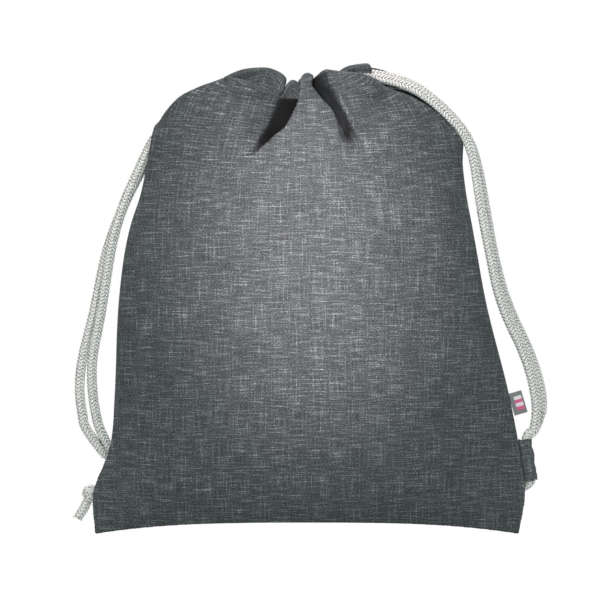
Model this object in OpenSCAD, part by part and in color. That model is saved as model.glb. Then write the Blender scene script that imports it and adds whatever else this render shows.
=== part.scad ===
// Drawstring backpack: a stuffed cloth pouch whose mouth is gathered on two braided cords.
// Each cord runs through the front and the back tunnel and comes down one side as a
// two-strand shoulder strap, through a sewn tab at the bottom corner, to a knot.
// Frame: origin on the ground under the middle of the bottom seam, +X right, +Y back, +Z up.
// All sizes are millimetres.

/* [Pouch] */
// Width across the bottom corners
bag_w = 378; // [370:1:386]
// Height where the panels end and the gathered mouth begins
panel_h = 350; // [346:1:352]
// Thickness of the stuffed pouch, front to back, at its fullest
bag_depth = 104; // [90:1:106]
// Rise of the bottom seam in the middle above the two corners
seam_arch = 10; // [6:1:12]
// Thickness of the cloth
cloth_t = 1.5; // [1.2:0.1:1.6]

/* [Gathered mouth] */
// Width of the tunnels with the cloth gathered along them
mouth_w = 116; // [112:1:118]
// Height of the middle of the tunnels
tunnel_z = 398; // [398:1:400]
// Height of a tunnel, outside
tunnel_h = 25; // [24.5:0.1:25.5]
// Depth of a tunnel, outside, gathers included
tunnel_d = 26; // [25.5:0.1:26.5]
// Free gap between the front and the back tunnel
mouth_gap = 6; // [5:0.5:7]

/* [Cords] */
// Diameter of the braided cord
cord_d = 8; // [7.5:0.1:8.2]
// Diameter of a knot
knot_d = 16; // [14:0.5:17]
// Length of the cord tail below a knot
tail_l = 14; // [10:1:16]

/* [Tabs and label] */
// Length of a corner tab along the side seam
tab_l = 33; // [28:1:34]
// Thickness of the tab's doubled webbing
tab_wall = 1.1; // [1:0.1:1.2]
// Size of the label, out from the seam and along it
label_out = 9; // [7:1:10]
label_l = 20; // [16:1:22]
// Thickness of the folded label
label_t = 1; // [0.8:0.1:1.2]

/* [Hidden] */

CLOTH = "#5b6166";
CLOTH_DARK = "#43484d";
THREAD = "#3a3f44";
CORD = "#eeebe2";
LABEL = "#6c6f73";
MOTIF = "#d8477a";

FRONT = -1;            // the y side that a front piece lies on
BACK = 1;
SEAM_GAP = 0.45;       // from the seam plane to a panel's rim
CLEAR = 0.4;           // between pieces that only touch on the real bag
COLUMNS = 20;          // cells across a panel
ROWS = 18;             // cells up a panel
TUBE_SIDES = 10;       // sides of a bent cord
STEPS = 3;             // spline points between two control points of a cord
cord_r = cord_d / 2;
half_w = bag_w / 2;

// The side edges: height, left x and right x, as shares of half the bottom width.
EDGES = [
    [0, -0.990, 0.975], [36, -0.998, 1.005], [75, -0.922, 0.978], [125, -0.897, 0.925],
    [200, -0.880, 0.825], [260, -0.838, 0.767], [310, -0.760, 0.720], [352, -0.736, 0.706]
];
// Half thickness at the middle of the pouch, as a share of half the depth.
BULGE = [
    [0, 0.03], [5, 0.22], [14, 0.40], [32, 0.60], [62, 0.79], [110, 0.95], [180, 1],
    [250, 0.93], [310, 0.74], [352, 0.54]
];
// The gathered cloth between the panels and the tunnels: height, left x, right x.
GATHER = [
    [354.5, -128, 124], [362, -119, 114], [370, -107, 102], [378, -90, 87], [384.5, -68, 68]
];
GATHER_ROWS = 4;

// ---- interpolation ----

// A value between rows of a table keyed by its first column, smooth at the rows.
function between(table, key, column, i = 0) =
    key <= table[0][0] ? table[0][column]
    : i >= len(table) - 1 ? table[len(table) - 1][column]
    : key <= table[i + 1][0]
        ? blend(table, i, (key - table[i][0]) / (table[i + 1][0] - table[i][0]), column)
    : between(table, key, column, i + 1);

// Cubic Hermite step from row i to row i + 1, with slopes from the neighbouring rows.
function slope(table, i, column) =
    let (a = max(i - 1, 0), b = min(i + 1, len(table) - 1))
    (table[b][column] - table[a][column]) / (table[b][0] - table[a][0]);
function blend(table, i, t, column) =
    let (h = table[i + 1][0] - table[i][0])
    table[i][column] * (2 * t ^ 3 - 3 * t ^ 2 + 1) + table[i + 1][column] * (3 * t ^ 2 - 2 * t ^ 3)
    + slope(table, i, column) * h * (t ^ 3 - 2 * t ^ 2 + t)
    + slope(table, i + 1, column) * h * (t ^ 3 - t ^ 2);

// Catmull-Rom curve through control points, as a list of points.
function curve(p) = [
    for (i = [0 : len(p) - 2], k = [0 : STEPS - 1]) spline_point(p, i, k / STEPS),
    p[len(p) - 1]
];
function spline_point(p, i, t) =
    let (
        a = p[max(i - 1, 0)], b = p[i], c = p[i + 1], d = p[min(i + 2, len(p) - 1)]
    )
    b + t * (c - a) / 2 + t ^ 2 * (a - 2.5 * b + 2 * c - d / 2) + t ^ 3 * (1.5 * (b - c) + (d - a) / 2);

// ---- the pouch's surface ----

function edge_x(z, u) =
    let (left = between(EDGES, z, 1), right = between(EDGES, z, 2))
    half_w * ((left + right) / 2 + u * (right - left) / 2);
function seam_z(u) = seam_arch * (1 - abs(u) ^ 3);
// The cloth lies flatter towards the side seams near the bottom corners.
function roundness(z) = z < 90 ? 0.95 : z > 170 ? 0.62 : 0.95 - 0.33 * (z - 90) / 80;
function bulge_y(z, u) =
    bag_depth / 2 * between(BULGE, z - seam_z(u), 1) * (1 - abs(u) ^ 2.4) ^ roundness(z);

// A cloth sheet between two grids of points, with its rim closed. Both grids are
// lists of rows, with row 0 at the bottom, and flip keeps the faces outward.
module sheet(outer, inner, flip) {
    rows = len(outer) - 1;
    columns = len(outer[0]) - 1;
    n = (rows + 1) * (columns + 1);
    function at(side, r, c) = side * n + r * (columns + 1) + c;
    function quad(a, b, c, d) = flip ? [[a, c, b], [a, d, c]] : [[a, b, c], [a, c, d]];
    faces = [
        for (r = [0 : rows - 1], c = [0 : columns - 1])
            each quad(at(0, r, c), at(0, r + 1, c), at(0, r + 1, c + 1), at(0, r, c + 1)),
        for (r = [0 : rows - 1], c = [0 : columns - 1])
            each quad(at(1, r, c), at(1, r, c + 1), at(1, r + 1, c + 1), at(1, r + 1, c)),
        for (c = [0 : columns - 1])
            each quad(at(0, 0, c), at(0, 0, c + 1), at(1, 0, c + 1), at(1, 0, c)),
        for (c = [0 : columns - 1])
            each quad(at(0, rows, c), at(1, rows, c), at(1, rows, c + 1), at(0, rows, c + 1)),
        for (r = [0 : rows - 1])
            each quad(at(0, r, 0), at(1, r, 0), at(1, r + 1, 0), at(0, r + 1, 0)),
        for (r = [0 : rows - 1])
            each quad(at(0, r, columns), at(0, r + 1, columns), at(1, r + 1, columns), at(1, r, columns))
    ];
    polyhedron(points = [for (g = [outer, inner], row = g, p = row) p], faces = faces, convexity = 6);
}

// Cells crowd towards the side seams, where the cloth turns fastest.
function spread(c, count) = sin(90 * (2 * c / count - 1));

module panel(side) {
    function skin(inset) = [
        for (r = [0 : ROWS]) [
            for (c = [0 : COLUMNS])
                let (
                    u = spread(c, COLUMNS), base = seam_z(u), rise = (r / ROWS) ^ 1.4,
                    z = base + rise * (panel_h - base),
                    lift = inset * (1 - rise) ^ 4
                )
                [
                    edge_x(z, u) - inset * u,
                    side * (SEAM_GAP + max(bulge_y(z, u) - inset * (1 - u ^ 8), 0)),
                    z + lift
                ]
        ]
    ];
    sheet(skin(0), skin(cloth_t), side == BACK);
}

// The gathered cloth above a panel, drawn in from the shoulders to the tunnel.
module gather(side) {
    function skin(depth) = [
        for (r = [0 : GATHER_ROWS]) [
            for (c = [0 : COLUMNS])
                let (
                    u = spread(c, COLUMNS), row = GATHER[r],
                    x = (row[1] + row[2]) / 2 + u * (row[2] - row[1]) / 2,
                    full = 26 - 13 * r / GATHER_ROWS,
                    pleat = 1.6 * cos(900 * u) * (1 - u ^ 2) * r / GATHER_ROWS
                )
                [x, side * (1 + depth + (full + pleat) * (1 - abs(u) ^ 2.4) ^ 0.7), row[0]]
        ]
    ];
    sheet(skin(cloth_t), skin(0), side == BACK);
}

// ---- seams ----

SEAM_W = 6;            // width of the stitched seam allowance inside
SEAM_T = 0.5;          // its thickness, squeezed between the panels
SEAM_IN = 0.8;         // how far it stays back from the outer edge

module side_seam(hand) {
    function strip(y, wide) = [
        for (r = [0 : ROWS]) let (z = 14 + (panel_h - 16) * r / ROWS) [
            for (w = [SEAM_IN, SEAM_IN + wide]) [edge_x(z, hand) - hand * w, y, z]
        ]
    ];
    sheet(strip(SEAM_T / 2, SEAM_W), strip(-SEAM_T / 2, SEAM_W), hand < 0);
}

module bottom_seam() {
    reach = 0.95;
    function strip(y) = [
        for (w = [SEAM_IN, SEAM_IN + SEAM_W]) [
            for (c = [0 : COLUMNS])
                let (u = reach * (2 * c / COLUMNS - 1), z = seam_z(u) + w)
                [edge_x(z, u), y, z]
        ]
    ];
    sheet(strip(-SEAM_T / 2), strip(SEAM_T / 2), false);
}

// ---- tunnels ----

TUNNEL_WALL = 1.4;
// From the middle of the mouth to the middle of a tunnel
tunnel_y = mouth_gap / 2 + tunnel_d / 2;
// The cords lie towards the outer side of their tunnel, which leaves it slack to open
run_y = tunnel_y + 5;
// The left cord runs above the right cord in each tunnel
left_run_z = tunnel_z + cord_r + 2.1;
right_run_z = tunnel_z - cord_r - 2.1;

// A closed box with round long edges, cut from exact solids, lying along X.
module tunnel_block(d, h, r, l) {
    rotate([90, 0, 90])
        linear_extrude(height = l, center = true)
            union() {
                square([d - 2 * r, h], center = true);
                square([d, h - 2 * r], center = true);
                for (x = [-1, 1], y = [-1, 1])
                    translate([x * (d / 2 - r), y * (h / 2 - r)]) circle(r, $fn = 48);
            }
}

module tunnel(side) {
    translate([0, side * tunnel_y, tunnel_z])
        difference() {
            tunnel_block(tunnel_d, tunnel_h, 5, mouth_w);
            tunnel_block(tunnel_d - 2 * TUNNEL_WALL, tunnel_h - 2 * TUNNEL_WALL, 3.6, mouth_w + 2);
        }
}

STITCH_D = 0.8;
// The row of stitches that closes the tunnel, on its outer face near the lower edge.
module tunnel_stitching(side) {
    translate([0, side * (tunnel_y + tunnel_d / 2 + STITCH_D / 2 + 0.05), tunnel_z - tunnel_h / 2 + 6.5])
        rotate([0, 90, 0]) cylinder(h = mouth_w - 6, d = STITCH_D, center = true, $fn = 24);
}

// ---- cords ----

// A bent round cord along a list of points, with flat ends.
module cord(path) {
    n = len(path);
    function tangent(i) =
        let (d = path[min(i + 1, n - 1)] - path[max(i - 1, 0)]) d / norm(d);
    function loop(i) =
        let (t = tangent(i), a = cross(t, [0, 1, 0]), side = a / norm(a), up = cross(side, t))
        [
            for (k = [0 : TUBE_SIDES - 1])
                path[i] + cord_r * (cos(360 * k / TUBE_SIDES) * side + sin(360 * k / TUBE_SIDES) * up)
        ];
    function at(i, k) = i * TUBE_SIDES + k % TUBE_SIDES;
    polyhedron(
        points = [for (i = [0 : n - 1]) each loop(i)],
        faces = [
            [for (k = [0 : TUBE_SIDES - 1]) k],
            [for (k = [0 : TUBE_SIDES - 1]) at(n - 1, TUBE_SIDES - 1 - k)],
            for (i = [0 : n - 2], k = [0 : TUBE_SIDES - 1])
                each [
                    [at(i, k), at(i + 1, k), at(i + 1, k + 1)],
                    [at(i, k), at(i + 1, k + 1), at(i, k + 1)]
                ]
        ],
        convexity = 8
    );
}

// The lengths of one cord that lie in the tunnels. hand is the side that its strap hangs on:
// the run ends just outside the tunnel there, and its turn is at the other end.
BIGHT_GAP = 7;         // from the end of the tunnel to the start of the turn
BIGHT_R = 8;           // radius of each corner of the turn
PIECE_GAP = 1.2;       // between two pieces of one cord
module run(side, hand, z) {
    out = mouth_w / 2 + PIECE_GAP;
    back = mouth_w / 2 + BIGHT_GAP - PIECE_GAP;
    translate([hand * (out - back) / 2, side * run_y, z])
        rotate([0, 90, 0]) cylinder(h = out + back, d = cord_d, center = true, $fn = 48);
}

// The turn that takes a cord from the front tunnel to the back one: two corners and a
// straight length between them.
module bight(hand, z) {
    straight = run_y - BIGHT_R;
    translate([hand * (mouth_w / 2 + BIGHT_GAP), 0, z]) {
        for (side = [FRONT, BACK])
            translate([0, side * straight, 0])
                mirror([hand > 0 ? 0 : 1, 0, 0])
                    mirror([0, side == FRONT ? 1 : 0, 0])
                        rotate_extrude(angle = 90, $fn = 96) translate([BIGHT_R, 0]) circle(cord_r, $fn = 48);
        translate([hand * BIGHT_R, 0, 0])
            rotate([90, 0, 0]) cylinder(h = 2 * straight, d = cord_d, center = true, $fn = 48);
    }
}

// Each length of paired cord is a table of rows: the middle of the pair, then the step from
// the middle to one of the two strands. A strap starts at its elbow and ends above its tab.
PAIR = cord_r + 0.35;
STRAP_X = 88;          // from the middle of the mouth to the start of a strap
BEND_GAP = 8.4;        // length of a pair left open where the strap turns against its elbow
RIGHT_STRAP = [
    [STRAP_X, 0, right_run_z, 0, PAIR, 0], [98, 0, 387.2, 0, PAIR, 0], [110, 0, 380, 0, PAIR, 0],
    [122, 1, 370.5, 0, PAIR, 0], [132.5, 1, 359, 0, PAIR, 0], [140.2, 2, 346, 0, PAIR, 0],
    [145.2, 2, 333, 0, PAIR, 0], [149.8, 3, 312, 0.5, PAIR, 0], [154.5, 3, 283, 1, PAIR, 0],
    [160.5, 4, 251, 1.5, PAIR, 0], [169, 5, 214, 2.5, PAIR, 0], [179, 5, 187, 3, PAIR, 0],
    [189.5, 5.5, 165, 3, PAIR, 0], [198, 6, 142, 3, PAIR, 0], [203, 6, 119, 3, PAIR, 0],
    [203, 7, 98, 2, PAIR, 0]
];
LEFT_STRAP = [
    [-STRAP_X, 0, left_run_z, 0, PAIR, 0], [-99, 6.5, 396, 2, 3.9, 0], [-110, 14.5, 384.5, 2.5, 3.6, 0],
    [-121, 21.5, 370, 1.6, 4.1, 0], [-131, 24, 355.5, 0.4, PAIR, 0], [-138.5, 21.5, 342, 0, PAIR, 0],
    [-144.5, 16, 329.5, 0, PAIR, 0], [-151, 11, 315, -0.5, PAIR, 0], [-160.5, 7.5, 295, -1, PAIR, 0],
    [-168.5, 7, 274, -1.5, PAIR, 0], [-175.5, 7, 251, -2, 4, 0], [-180, 7, 229, -2.5, 4, 0],
    [-184, 7, 206, -3, 3.6, 0], [-187.5, 7, 188, -3.5, 3.4, 0], [-195, 8, 154, -4.5, 3, 0],
    [-196.5, 9, 128, -5.7, 1.5, 0], [-194, 11.3, 105, -6, 0.7, 0], [-188.5, 14, 84, -6.2, 0, 0]
];

function strand(rows, side) = [
    for (r = rows) [r[0] + side * r[3], r[1] + side * r[4], r[2] + side * r[5]]
];

module strap_strand(rows, side) {
    cord(curve(strand(rows, side)));
}

// The bends that bring both strands of a pair together from the ends of the tunnels: each is
// an arc inwards and an equal arc back.
module elbow(hand, z) {
    start = mouth_w / 2 + 2 * PIECE_GAP;
    reach = STRAP_X - BEND_GAP - start;
    turn = 2 * atan((run_y - PAIR) / reach);
    r = reach / (2 * sin(turn));
    for (side = [FRONT, BACK])
        mirror([hand > 0 ? 0 : 1, 0, 0]) mirror([0, side == FRONT ? 1 : 0, 0]) translate([0, 0, z]) {
            translate([start, run_y - r, 0]) rotate([0, 0, 90 - turn])
                rotate_extrude(angle = turn, $fn = 96) translate([r, 0]) circle(cord_r, $fn = 48);
            translate([start + reach, PAIR + r, 0]) rotate([0, 0, -90 - turn])
                rotate_extrude(angle = turn, $fn = 96) translate([r, 0]) circle(cord_r, $fn = 48);
        }
}

// ---- corner tabs, cord ends and knots ----

// Each tab: its middle on the side seam (x and z), its lean from upright, the outer size of its
// loop (out from the seam and back from it), the place of the loop's middle, and its length.
// The left tab is folded behind its corner, and its cloth is bunched up.
BUNCHED = 0.6;
RIGHT_TAB = [187, 63, 8.8, [11.2, 20.4], [6.2, 7], tab_l];
LEFT_TAB = [-181, 50, -10, [20.6, 11.4], [-11.5, 18.5], tab_l * BUNCHED];

module on_seam(tab) {
    translate([tab[0], 0, tab[1]]) rotate([0, -tab[2], 0]) children();
}

module tab(tab, hand) {
    on_seam(tab)
        translate([hand * tab[4][0], tab[4][1], -tab[5] / 2])
            linear_extrude(height = tab[5])
                difference() {
                    tab_shape(tab[3], 3);
                    tab_shape([tab[3][0] - 2 * tab_wall, tab[3][1] - 2 * tab_wall], 3 - tab_wall);
                }
}
module tab_shape(size, r) {
    square([size[0] - 2 * r, size[1]], center = true);
    square([size[0], size[1] - 2 * r], center = true);
    for (x = [-1, 1], y = [-1, 1])
        translate([x * (size[0] / 2 - r), y * (size[1] / 2 - r)]) circle(r, $fn = 32);
}

// Two rows of thread across the face of a tab.
module tab_stitching(tab, hand, face_y, across) {
    on_seam(tab)
        for (row = [-1, 1])
            translate([hand * tab[4][0], face_y, row * (tab[5] / 2 - 7)])
                rotate([0, 90, 0]) cylinder(h = across, d = STITCH_D, center = true, $fn = 24);
}

// The pair of strands from the end of a strap, through its tab, to the knot.
RIGHT_ENDS = [
    [199.6, 7, 90.4, 1, PAIR, 0], [194.3, 7, 86.6, 0, PAIR, 0], [190.4, 7, 81.4, 0, PAIR, 0],
    [193.1, 7, 63.9, 0, PAIR, 0], [195.8, 7, 46.8, 0, PAIR, 0],
    [194.9, 9.3, 42.5, 0.8, PAIR, 0], [191, 12.3, 39.8, 2.2, 3.8, 0]
];
LEFT_ENDS = [
    [-184, 16, 74.5, -5, 0, -3.2], [-176.5, 17.4, 69, -3.4, 0, -4], [-168.6, 18.5, 65.6, -4, 0, -1.8],
    [-167.3, 18.5, 60.8, -4.3, 0, 0.75], [-169.7, 18.5, 48, -4.3, 0, 0.75],
    [-172.1, 18.5, 34.4, -4.3, 0, 0.75], [-174.6, 18.5, 29.6, -3.6, 0, 2.5], [-180, 17.6, 28.2, -1.2, 0, 4.2]
];
module cord_ends(rows) {
    for (side = [-1, 1]) cord(curve(strand(rows, side)));
}

module knot(centre, tail) {
    translate(centre) {
        sphere(d = knot_d, $fn = 64);
        rotate(tail) cylinder(h = knot_d / 2 + tail_l, d = cord_d, $fn = 48);
    }
}

// ---- label ----

LABEL_AT = [179.6, 113, 16.5];     // middle of its sewn edge on the seam: x, z and its lean
LABEL_OFF = 1.2;                   // from the seam to the label's own edge
module on_label() {
    translate([LABEL_AT[0], 0, LABEL_AT[1]]) rotate([0, -LABEL_AT[2], 0]) children();
}
module woven_label() {
    on_label()
        translate([LABEL_OFF, -label_t / 2, -label_l / 2]) cube([label_out, label_t, label_l]);
}
// Two plain woven bars on the label's front face.
module label_motif() {
    on_label()
        for (z = [-1, 1])
            translate([LABEL_OFF + 2, -label_t / 2 - 0.35, z * label_l / 6 - 1.6])
                cube([label_out - 4, 0.3, 3.2]);
}

// ---- nodes ----

color(CLOTH) panel(FRONT);  // front_panel
color(CLOTH) panel(BACK);  // back_panel
color(THREAD) side_seam(-1);  // left_side_seam
color(THREAD) side_seam(1);  // right_side_seam
color(THREAD) bottom_seam();
color(CLOTH_DARK) tab(LEFT_TAB, -1);  // left_tab
color(CLOTH_DARK) tab(RIGHT_TAB, 1);  // right_tab
color(THREAD) tab_stitching(LEFT_TAB, -1, 18.5 + 5.7 + 0.5, 14);  // left_tab_stitching
color(THREAD) tab_stitching(RIGHT_TAB, 1, 7 - 10.2 - 0.5, 5);  // right_tab_stitching
color(CORD) cord_ends(LEFT_ENDS);  // left_cord_ends
color(CORD) cord_ends(RIGHT_ENDS);  // right_cord_ends
color(CORD) knot([-192, 17, 32], [0, -143, 0]);  // left_knot
color(CORD) knot([182.6, 17, 36], [0, 195, 0]);  // right_knot
color(CORD) bight(1, left_run_z);  // left_cord_bight
color(CORD) bight(-1, right_run_z);  // right_cord_bight
color(CLOTH) gather(FRONT);  // front_gather
color(CLOTH) tunnel(FRONT);  // front_tunnel
color(THREAD) tunnel_stitching(FRONT);  // front_tunnel_stitching
color(CLOTH) gather(BACK);  // back_gather
color(CLOTH) tunnel(BACK);  // back_tunnel
color(THREAD) tunnel_stitching(BACK);  // back_tunnel_stitching
color(CORD) run(FRONT, -1, left_run_z);  // left_cord_front_run
color(CORD) run(BACK, -1, left_run_z);  // left_cord_back_run
color(CORD) elbow(-1, left_run_z);  // left_cord_elbow
color(CORD) strap_strand(LEFT_STRAP, -1);  // left_strap_front_strand
color(CORD) strap_strand(LEFT_STRAP, 1);  // left_strap_back_strand
color(CORD) run(FRONT, 1, right_run_z);  // right_cord_front_run
color(CORD) run(BACK, 1, right_run_z);  // right_cord_back_run
color(CORD) elbow(1, right_run_z);  // right_cord_elbow
color(CORD) strap_strand(RIGHT_STRAP, -1);  // right_strap_front_strand
color(CORD) strap_strand(RIGHT_STRAP, 1);  // right_strap_back_strand
color(LABEL) woven_label();
color(MOTIF) label_motif();
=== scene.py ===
"""Looks of the drawstring backpack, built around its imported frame."""
import math

import bpy
import numpy as np
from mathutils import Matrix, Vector


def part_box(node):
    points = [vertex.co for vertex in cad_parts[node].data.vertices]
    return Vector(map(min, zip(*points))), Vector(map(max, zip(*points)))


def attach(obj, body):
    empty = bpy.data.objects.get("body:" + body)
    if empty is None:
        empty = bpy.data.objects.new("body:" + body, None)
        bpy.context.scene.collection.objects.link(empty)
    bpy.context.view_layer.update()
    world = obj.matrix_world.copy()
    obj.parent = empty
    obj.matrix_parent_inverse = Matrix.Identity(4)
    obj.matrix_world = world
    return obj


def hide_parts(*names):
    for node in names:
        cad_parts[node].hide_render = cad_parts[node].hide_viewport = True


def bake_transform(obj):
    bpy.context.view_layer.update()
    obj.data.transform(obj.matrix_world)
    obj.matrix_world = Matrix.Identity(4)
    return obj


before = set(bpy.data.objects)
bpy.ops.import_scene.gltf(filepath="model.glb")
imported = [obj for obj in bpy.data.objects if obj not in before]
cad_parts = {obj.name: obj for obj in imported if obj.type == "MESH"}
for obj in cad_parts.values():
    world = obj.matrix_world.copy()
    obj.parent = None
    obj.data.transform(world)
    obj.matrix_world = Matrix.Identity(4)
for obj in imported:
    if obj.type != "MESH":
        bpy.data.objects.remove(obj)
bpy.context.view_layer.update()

MM = 0.001
FRONT, BACK = -1, 1
LEFT, RIGHT = -1, 1
HAND = {LEFT: "left", RIGHT: "right"}
FACE = {FRONT: "front", BACK: "back"}

# ---------------------------------------------------------------- small helpers


def smooth(x, low, high):
    """0 below low, 1 above high, and a smooth step between them."""
    t = np.clip((np.asarray(x, float) - low) / (high - low), 0, 1)
    return t * t * (3 - 2 * t)


def bump(q, middle, width):
    """1 at the middle, and a smooth fall to 0 within about twice the width."""
    return np.exp(-(((q - middle) / width) ** 2))


def mix(a, b, t):
    return a + (b - a) * t


def spline(points, count):
    """Points spaced evenly along a smooth curve through the control points."""
    p = np.array(points, float)
    padded = np.vstack([2 * p[0] - p[1], p, 2 * p[-1] - p[-2]])
    fine = []
    for i in range(len(p) - 1):
        a, b, c, d = padded[i : i + 4]
        for t in np.arange(0, 1, 1 / 24):
            fine.append(
                b + t * (c - a) / 2
                + t**2 * (a - 2.5 * b + 2 * c - d / 2)
                + t**3 * (1.5 * (b - c) + (d - a) / 2)
            )
    fine.append(p[-1])
    return resample(np.array(fine), count)


def resample(p, count):
    """The polyline p cut into evenly spaced points."""
    along = np.concatenate([[0], np.cumsum(np.linalg.norm(np.diff(p, axis=0), axis=1))])
    at = np.linspace(0, along[-1], count)
    return np.stack([np.interp(at, along, p[:, k]) for k in range(p.shape[1])], axis=1)


def length(p):
    return float(np.linalg.norm(np.diff(p, axis=0), axis=1).sum())


def waves(x, z, seed, size, count=7):
    """A smooth random field of about unit height, whose features are about size across."""
    rng = np.random.default_rng(seed)
    total = np.zeros_like(x)
    for _ in range(count):
        angle, phase = rng.uniform(0, math.pi), rng.uniform(0, 2 * math.pi)
        k = 2 * math.pi / (size * rng.uniform(0.7, 1.6))
        total += np.sin(k * (x * math.cos(angle) + z * math.sin(angle)) + phase)
    return total / math.sqrt(count)


def mesh_object(name, points, faces, uv=None, smooth_shade=True):
    """A mesh object from an (n, 3) array of points in mm and an array or list of faces."""
    mesh = bpy.data.meshes.new(name)
    mesh.from_pydata((np.asarray(points) * MM).tolist(), [], [list(map(int, f)) for f in faces])
    if uv is not None:
        layer = mesh.uv_layers.new(name="cloth")
        loops = np.zeros(len(mesh.loops), int)
        mesh.loops.foreach_get("vertex_index", loops)
        layer.data.foreach_set("uv", (np.asarray(uv) * MM)[loops].ravel())
    mesh.validate()
    if smooth_shade:
        mesh.polygons.foreach_set("use_smooth", [True] * len(mesh.polygons))
    mesh.update()
    obj = bpy.data.objects.new(name, mesh)
    bpy.context.scene.collection.objects.link(obj)
    return obj


def grid_faces(rows, columns, flip=False, closed=False):
    """Quads of a grid of rows by columns points, closed across the columns if asked."""
    wide = columns if closed else columns - 1
    r, c = np.meshgrid(np.arange(rows - 1), np.arange(wide), indexing="ij")
    n = (c + 1) % columns
    here, above = r * columns, (r + 1) * columns
    quads = np.stack([here + c, here + n, above + n, above + c], axis=-1)
    quads = quads.reshape(-1, 4)
    return quads[:, ::-1] if flip else quads


def apply_modifier(obj, kind, **settings):
    modifier = obj.modifiers.new(kind.title(), kind)
    for key, value in settings.items():
        setattr(modifier, key, value)
    bpy.context.view_layer.objects.active = obj
    bpy.ops.object.modifier_apply(modifier=modifier.name)


# ---------------------------------------------------------------- materials


def new_material(name):
    material = bpy.data.materials.new(name)
    material.use_nodes = True
    return material, material.node_tree.nodes, material.node_tree.links


def node(nodes, kind, **inputs):
    made = nodes.new(kind)
    for key, value in inputs.items():
        if key in made.inputs:
            made.inputs[key].default_value = value
        else:
            setattr(made, key.lower(), value)
    return made


def ramp(nodes, links, source, stops):
    made = nodes.new("ShaderNodeValToRGB")
    elements = made.color_ramp.elements
    while len(elements) < len(stops):
        elements.new(0.5)
    for element, (position, colour) in zip(elements, stops):
        element.position = position
        element.color = (*colour, 1)
    links.new(source, made.inputs["Fac"])
    return made.outputs["Color"]


def streaks(nodes, links, coordinates, scale, low, high, detail=3.0):
    """Noise stretched by scale, cut to the range low..high: 0 is none, 1 a full streak."""
    mapping = nodes.new("ShaderNodeMapping")
    mapping.inputs["Scale"].default_value = (*scale, 1)
    noise = node(nodes, "ShaderNodeTexNoise", Scale=1.0, Detail=detail, Roughness=0.55)
    cut = nodes.new("ShaderNodeMapRange")
    cut.inputs["From Min"].default_value = low
    cut.inputs["From Max"].default_value = high
    links.new(coordinates, mapping.inputs["Vector"])
    links.new(mapping.outputs["Vector"], noise.inputs["Vector"])
    links.new(noise.outputs["Fac"], cut.inputs["Value"])
    return cut.outputs["Result"]


def maths(nodes, links, operation, a, b=0.0, clamp=False):
    made = nodes.new("ShaderNodeMath")
    made.operation = operation
    made.use_clamp = clamp
    for socket, value in zip(made.inputs, (a, b)):
        if isinstance(value, (int, float)):
            socket.default_value = value
        else:
            links.new(value, socket)
    return made.outputs["Value"]


def mixed(nodes, links, factor, a, b, kind="MIX"):
    made = nodes.new("ShaderNodeMix")
    made.data_type = "RGBA"
    made.blend_type = kind
    for socket, value in ((made.inputs[0], factor), (made.inputs[6], a), (made.inputs[7], b)):
        if isinstance(value, tuple):
            socket.default_value = (*value, 1)
        elif isinstance(value, (int, float)):
            socket.default_value = value
        else:
            links.new(value, socket)
    return made.outputs[2]


THREADS = 2200.0  # threads of the weave per metre


def melange(name, dark=1.0, deep=1.0):
    """Melange chambray: a fine plain weave with pale slubs, with painted shade from ambient occlusion, raised
    to the power deep, that darkens it in its folds.
    """
    material, nodes, links = new_material(name)
    shader = nodes["Principled BSDF"]
    uv = nodes.new("ShaderNodeUVMap")
    uv.uv_map = "cloth"
    place = uv.outputs["UV"]
    weft = streaks(nodes, links, place, (60, 900), 0.48, 0.78)
    weft_long = streaks(nodes, links, place, (24, 620), 0.53, 0.76)
    warp = streaks(nodes, links, place, (800, 34), 0.50, 0.78)
    fleck = streaks(nodes, links, place, (620, 1300), 0.42, 0.70, detail=2.0)
    cloudy = streaks(nodes, links, place, (22, 30), 0.3, 0.7)
    pale = maths(nodes, links, "MULTIPLY", weft, 0.56)
    pale = maths(nodes, links, "ADD", pale, maths(nodes, links, "MULTIPLY", weft_long, 0.24))
    pale = maths(nodes, links, "ADD", pale, maths(nodes, links, "MULTIPLY", warp, 0.36))
    pale = maths(nodes, links, "ADD", pale, maths(nodes, links, "MULTIPLY", fleck, 0.50))
    pale = maths(nodes, links, "ADD", pale, maths(nodes, links, "MULTIPLY", cloudy, 0.06), clamp=True)
    colour = ramp(
        nodes, links, pale,
        [
            (0.0, (0.038 * dark, 0.042 * dark, 0.045 * dark)),
            (0.35, (0.105 * dark, 0.114 * dark, 0.120 * dark)),
            (0.7, (0.250 * dark, 0.266 * dark, 0.276 * dark)),
            (1.0, (0.56 * dark, 0.58 * dark, 0.59 * dark)),
        ],
    )
    over = weave_height(nodes, links, place)
    shade = maths(nodes, links, "ADD", maths(nodes, links, "MULTIPLY", over, 0.3), 0.8)
    colour = mixed(nodes, links, 1.0, colour, shade, "MULTIPLY")
    # Painted shade: ambient occlusion darkens the base colour in folds and creases.
    painted_shade_ao = node(nodes, "ShaderNodeAmbientOcclusion", Distance=0.05)
    painted_shade_ao.samples = 8
    painted_shade_ao.only_local = True
    shaded = maths(nodes, links, "POWER", painted_shade_ao.outputs["AO"], deep)
    colour = mixed(nodes, links, 1.0, colour, shaded, "MULTIPLY")
    links.new(colour, shader.inputs["Base Color"])
    height = maths(nodes, links, "ADD", over, maths(nodes, links, "MULTIPLY", pale, 1.2))
    bump = node(nodes, "ShaderNodeBump", Strength=0.35, Distance=0.0003)
    links.new(height, bump.inputs["Height"])
    links.new(bump.outputs["Normal"], shader.inputs["Normal"])
    shader.inputs["Roughness"].default_value = 0.92
    shader.inputs["Specular IOR Level"].default_value = 0.18
    shader.inputs["Sheen Weight"].default_value = 0.12
    shader.inputs["Sheen Roughness"].default_value = 0.45
    shader.inputs["Sheen Tint"].default_value = (0.85, 0.9, 0.95, 1)
    return material


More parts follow.
